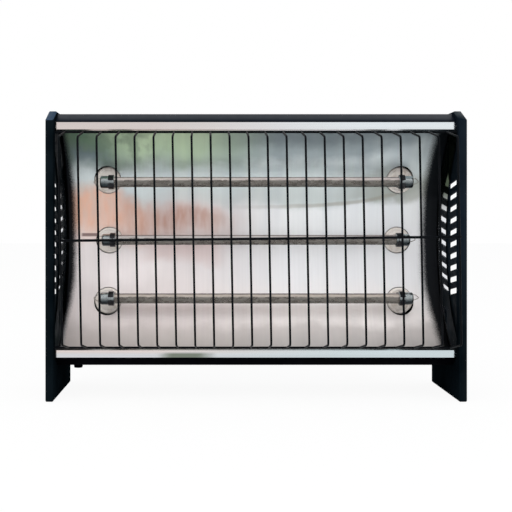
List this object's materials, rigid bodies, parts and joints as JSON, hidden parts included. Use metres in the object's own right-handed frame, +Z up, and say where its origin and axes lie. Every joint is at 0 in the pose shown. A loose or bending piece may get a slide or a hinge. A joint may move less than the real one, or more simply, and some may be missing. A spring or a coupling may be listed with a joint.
{
  "type": "quartz heater",
  "caption": "Free-standing electric quartz heater with horizontal bars before a bowed polished reflector, a bulging wire guard, and black side panels that form its feet.",
  "frame": {"origin": "on the floor under the middle of the heater's box, guard included", "axes": "+X along the bars, +Y from the front to the back, so the front faces -Y, and +Z up"},
  "size_m": [0.4, 0.1429, 0.278],
  "materials": {
    "black_plastic": "moulded plastic, semi-matt, near black with a blue-green cast",
    "black_paint": "baked enamel, semi-gloss, near black with a blue cast",
    "polished_steel": "polished stainless sheet with fine upright brush lines",
    "plated_steel": "zinc-plated strip",
    "ceramic": null,
    "clip_steel": "bare spring steel, heat-dulled",
    "cap_nickel": "nickel-plated cap, a little heat-tinted",
    "lead_nickel": "bare nickel wire",
    "quartz_glass": "clear fused quartz, smoky",
    "coil_alloy": "oxidised resistance wire, brown-grey",
    "guard_paint": "black powder coat on wire",
    "switch_plastic": "black nylon",
    "rocker_plastic": "black rocker, smooth",
    "block_plastic": "cream porcelain terminal block",
    "wire_sleeve": "glass-fibre sleeve, off-white",
    "screw_steel": "blackened screws with a cross recess"
  },
  "bodies": {
    "root": {"base_pan": "black_paint", "ceramic_holder_bottom_left": "ceramic", "ceramic_holder_bottom_right": "ceramic", "ceramic_holder_middle_left": "ceramic", "ceramic_holder_middle_right": "ceramic", "ceramic_holder_top_left": "ceramic", "ceramic_holder_top_right": "ceramic", "cord_gland": "black_plastic", "end_cap_bottom_left": "cap_nickel", "end_cap_bottom_right": "cap_nickel", "end_cap_middle_left": "cap_nickel", "end_cap_middle_right": "cap_nickel", "end_cap_top_left": "cap_nickel", "end_cap_top_right": "cap_nickel", "heating_coil_bottom": "coil_alloy", "heating_coil_middle": "coil_alloy", "heating_coil_top": "coil_alloy", "holder_rail_left": "plated_steel", "holder_rail_right": "plated_steel", "lead_wire_bottom_left": "lead_nickel", "lead_wire_bottom_right": "lead_nickel", "lead_wire_middle_left": "lead_nickel", "lead_wire_middle_right": "lead_nickel", "lead_wire_top_left": "lead_nickel", "lead_wire_top_right": "lead_nickel", "panel_screw_left_lower_front": "screw_steel", "panel_screw_left_lower_rear": "screw_steel", "panel_screw_left_upper_front": "screw_steel", "panel_screw_left_upper_rear": "screw_steel", "panel_screw_right_lower_front": "screw_steel", "panel_screw_right_lower_rear": "screw_steel", "panel_screw_right_upper_front": "screw_steel", "panel_screw_right_upper_rear": "screw_steel", "quartz_tube_bottom": "quartz_glass", "quartz_tube_middle": "quartz_glass", "quartz_tube_top": "quartz_glass", "rear_panel": "black_paint", "rear_screw_left_lower": "screw_steel", "rear_screw_left_upper": "screw_steel", "rear_screw_right_lower": "screw_steel", "rear_screw_right_upper": "screw_steel", "reflector": "polished_steel", "side_panel_left": "black_plastic", "side_panel_right": "black_plastic", "switch_housing_front": "switch_plastic", "switch_housing_rear": "switch_plastic", "terminal_block": "block_plastic", "terminal_clip_bottom_left": "clip_steel", "terminal_clip_bottom_right": "clip_steel", "terminal_clip_middle_left": "clip_steel", "terminal_clip_middle_right": "clip_steel", "terminal_clip_top_left": "clip_steel", "terminal_clip_top_right": "clip_steel", "thermal_cutout": "switch_plastic", "top_cover": "black_paint", "wire_block_to_cutout": "wire_sleeve", "wire_cutout_to_switch": "wire_sleeve", "wire_guard": "guard_paint"},
    "front_rocker": {"rocker_front": "rocker_plastic"},
    "rear_rocker": {"rocker_rear": "rocker_plastic"}
  },
  "joints": [
    {"name": "front_rocker_tilt", "type": "hinge", "parent": "root", "child": "front_rocker", "pos_m": [0.1955, 0.0275, 0.243], "axis": [0, -1, 0], "range_deg": [0, 20]},
    {"name": "rear_rocker_tilt", "type": "hinge", "parent": "root", "child": "rear_rocker", "pos_m": [0.1955, 0.0475, 0.243], "axis": [0, -1, 0], "range_deg": [0, 20]}
  ]
}
